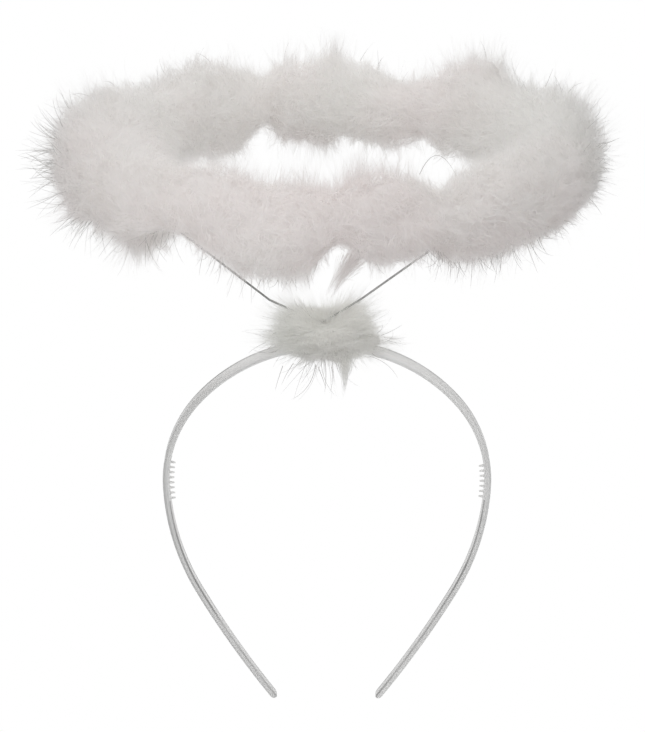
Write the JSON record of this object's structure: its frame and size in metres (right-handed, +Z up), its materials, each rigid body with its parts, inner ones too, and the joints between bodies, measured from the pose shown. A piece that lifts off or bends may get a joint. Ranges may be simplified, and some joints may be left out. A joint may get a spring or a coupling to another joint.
{
  "type": "halo headband",
  "caption": "Slim white plastic hair hoop with small inner combs, carrying a level ring of white marabou down above it on slanting steel wires, with a down tuft at the crown.",
  "frame": {"origin": "crown of the head: the middle of the hair hoop's inner face at its top, where the headband rests on the wearer", "axes": "+Z up as worn, +X to the right as seen from the front, +Y to the back; the hair hoop stands in the XZ plane and the halo lies level above it"},
  "size_m": [0.2089, 0.2072, 0.2486],
  "materials": {
    "white_plastic": "smooth glossy white moulded plastic, slightly milky",
    "steel_wire": "thin drawn steel wire, dull silver",
    "marabou_down": "white marabou down: soft loose barbs with fine wispy ends"
  },
  "bodies": {
    "root": {"headband": "white_plastic", "halo_hoop": "steel_wire", "stem_wires": "steel_wire", "halo_boa": "marabou_down", "tuft": "marabou_down"}
  },
  "joints": []
}
